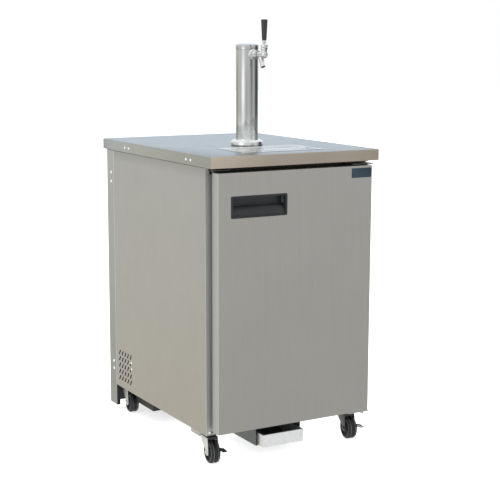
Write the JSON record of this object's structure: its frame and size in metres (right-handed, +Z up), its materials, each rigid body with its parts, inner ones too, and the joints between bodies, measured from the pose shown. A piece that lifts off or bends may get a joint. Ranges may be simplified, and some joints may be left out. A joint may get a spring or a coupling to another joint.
{
  "type": "kegerator",
  "caption": "Stainless direct-draw beer cooler on swivel casters, with a flush-handled door, a column tower with one tap, a sunk drip tray and a slide-out condensate tray.",
  "frame": {"origin": "on the floor, under the middle of the worktop", "axes": "+Z up, -Y toward the door and the user, +X to the user's right"},
  "size_m": [0.632, 0.845, 1.4395],
  "materials": {
    "stainless": "satin",
    "polished_steel": "polished",
    "galvanised_sheet": "satin",
    "zinc_plate": "satin",
    "fin_aluminium": "satin",
    "copper_pipe": "satin",
    "dark_sheet": "satin",
    "black_paint": "satin",
    "black_plastic": "satin",
    "black_rubber": "matte",
    "foam_core": "matte",
    "badge_plate": "gloss",
    "white_plastic": "satin",
    "beer_hose": "gloss"
  },
  "bodies": {
    "cabinet": {"worktop": "stainless", "worktop_core": "foam_core", "left_panel": "stainless", "right_panel": "stainless", "rear_cover": "stainless", "back_panel": "galvanised_sheet", "front_frame": "stainless", "liner": "stainless", "cabinet_foam": "foam_core", "base_panel": "galvanised_sheet", "machine_base": "galvanised_sheet", "compressor": "black_paint", "condenser": "black_paint", "fan_shroud": "black_paint", "condenser_motor": "dark_sheet", "discharge_pipe": "copper_pipe", "evaporator_coil": "fin_aluminium", "evaporator_cover": "white_plastic", "evaporator_motor": "dark_sheet", "thermostat": "white_plastic", "top_hinge": "zinc_plate", "bottom_hinge": "zinc_plate", "tray_holder": "dark_sheet", "tower_flange": "polished_steel", "tower_column": "polished_steel", "tower_cap": "polished_steel", "shank": "polished_steel", "coupling_nut": "polished_steel", "faucet_body": "polished_steel", "faucet_bonnet": "polished_steel", "beer_line": "beer_hose", "drip_pan": "polished_steel", "caster_plate_front_left": "zinc_plate", "caster_plate_front_right": "zinc_plate", "caster_plate_rear_left": "zinc_plate", "caster_plate_rear_right": "zinc_plate"},
    "door": {"door_skin": "stainless", "door_foam": "foam_core", "door_liner": "stainless", "door_gasket": "black_rubber", "door_handle": "black_plastic", "badge": "badge_plate"},
    "tap": {"faucet_lever": "polished_steel", "tap_handle": "black_plastic"},
    "plunger": {"faucet_plunger": "polished_steel"},
    "drip_grille": {"drip_grille": "polished_steel"},
    "condensate_tray": {"condensate_tray": "galvanised_sheet"},
    "condenser_fan": {"condenser_fan": "fin_aluminium"},
    "evaporator_fan": {"evaporator_fan": "black_plastic"},
    "thermostat_dial": {"thermostat_dial": "black_plastic"},
    "fork_front_left": {"caster_fork_front_left": "zinc_plate"},
    "wheel_front_left": {"caster_wheel_front_left": "black_rubber"},
    "brake_front_left": {"caster_brake_front_left": "zinc_plate"},
    "fork_front_right": {"caster_fork_front_right": "zinc_plate"},
    "wheel_front_right": {"caster_wheel_front_right": "black_rubber"},
    "brake_front_right": {"caster_brake_front_right": "zinc_plate"},
    "fork_rear_left": {"caster_fork_rear_left": "zinc_plate"},
    "wheel_rear_left": {"caster_wheel_rear_left": "black_rubber"},
    "fork_rear_right": {"caster_fork_rear_right": "zinc_plate"},
    "wheel_rear_right": {"caster_wheel_rear_right": "black_rubber"}
  },
  "joints": [
    {"name": "door_hinge", "type": "hinge", "parent": "cabinet", "child": "door", "pos_m": [0.28, -0.402, 0.54], "axis": [0, 0, 1], "range_deg": [0, 120]},
    {"name": "tap_lever", "type": "hinge", "parent": "cabinet", "child": "tap", "pos_m": [0, -0.2025, 1.351], "axis": [1, 0, 0], "range_deg": [0, 25]},
    {"name": "plunger_slide", "type": "slide", "parent": "cabinet", "child": "plunger", "axis": [0, 1, 0], "range_m": [0, 0.0124]},
    {"name": "drip_grille_lift", "type": "slide", "parent": "cabinet", "child": "drip_grille", "axis": [0, 0, 1], "range_m": [0, 0.12]},
    {"name": "condensate_tray_slide", "type": "slide", "parent": "cabinet", "child": "condensate_tray", "axis": [0, -1, 0], "range_m": [0, 0.18]},
    {"name": "condenser_fan_spin", "type": "hinge", "parent": "cabinet", "child": "condenser_fan", "pos_m": [-0.234, 0.2475, 0.183], "axis": [1, 0, 0], "continuous": true},
    {"name": "evaporator_fan_spin", "type": "hinge", "parent": "cabinet", "child": "evaporator_fan", "pos_m": [0, 0.179, 0.73], "axis": [0, 1, 0], "continuous": true},
    {"name": "thermostat_turn", "type": "hinge", "parent": "cabinet", "child": "thermostat_dial", "pos_m": [0.2252, 0.16, 0.52], "axis": [1, 0, 0], "range_deg": [0, 270]},
    {"name": "swivel_front_left", "type": "hinge", "parent": "cabinet", "child": "fork_front_left", "pos_m": [-0.268, -0.313, 0.09], "axis": [0, 0, 1], "continuous": true},
    {"name": "roll_front_left", "type": "hinge", "parent": "fork_front_left", "child": "wheel_front_left", "pos_m": [-0.27018, -0.33791, 0.0381], "axis": [0.9962, -0.0872, 0], "continuous": true},
    {"name": "brake_front_left", "type": "hinge", "parent": "fork_front_left", "child": "brake_front_left", "pos_m": [-0.27018, -0.33791, 0.0381], "axis": [0.9962, -0.0872, 0], "range_deg": [0, 18]},
    {"name": "swivel_front_right", "type": "hinge", "parent": "cabinet", "child": "fork_front_right", "pos_m": [0.2715, -0.313, 0.09], "axis": [0, 0, 1], "continuous": true},
    {"name": "roll_front_right", "type": "hinge", "parent": "fork_front_right", "child": "wheel_front_right", "pos_m": [0.26889, -0.33786, 0.0381], "axis": [0.9945, -0.1045, 0], "continuous": true},
    {"name": "brake_front_right", "type": "hinge", "parent": "fork_front_right", "child": "brake_front_right", "pos_m": [0.26889, -0.33786, 0.0381], "axis": [0.9945, -0.1045, 0], "range_deg": [0, 18]},
    {"name": "swivel_rear_left", "type": "hinge", "parent": "cabinet", "child": "fork_rear_left", "pos_m": [-0.257, 0.345, 0.09], "axis": [0, 0, 1], "range_deg": [-54, 183]},
    {"name": "roll_rear_left", "type": "hinge", "parent": "fork_rear_left", "child": "wheel_rear_left", "pos_m": [-0.25961, 0.32014, 0.0381], "axis": [0.9945, -0.1045, 0], "continuous": true},
    {"name": "swivel_rear_right", "type": "hinge", "parent": "cabinet", "child": "fork_rear_right", "pos_m": [0.257, 0.345, 0.09], "axis": [0, 0, 1], "range_deg": [-165, 70]},
    {"name": "roll_rear_right", "type": "hinge", "parent": "fork_rear_right", "child": "wheel_rear_right", "pos_m": [0.25309, 0.32031, 0.0381], "axis": [0.9877, -0.1564, 0], "continuous": true}
  ],
  "couplings": [
    {"joint": "plunger_slide", "follows": "tap_lever", "m_per_rad": 0.0282}
  ]
}
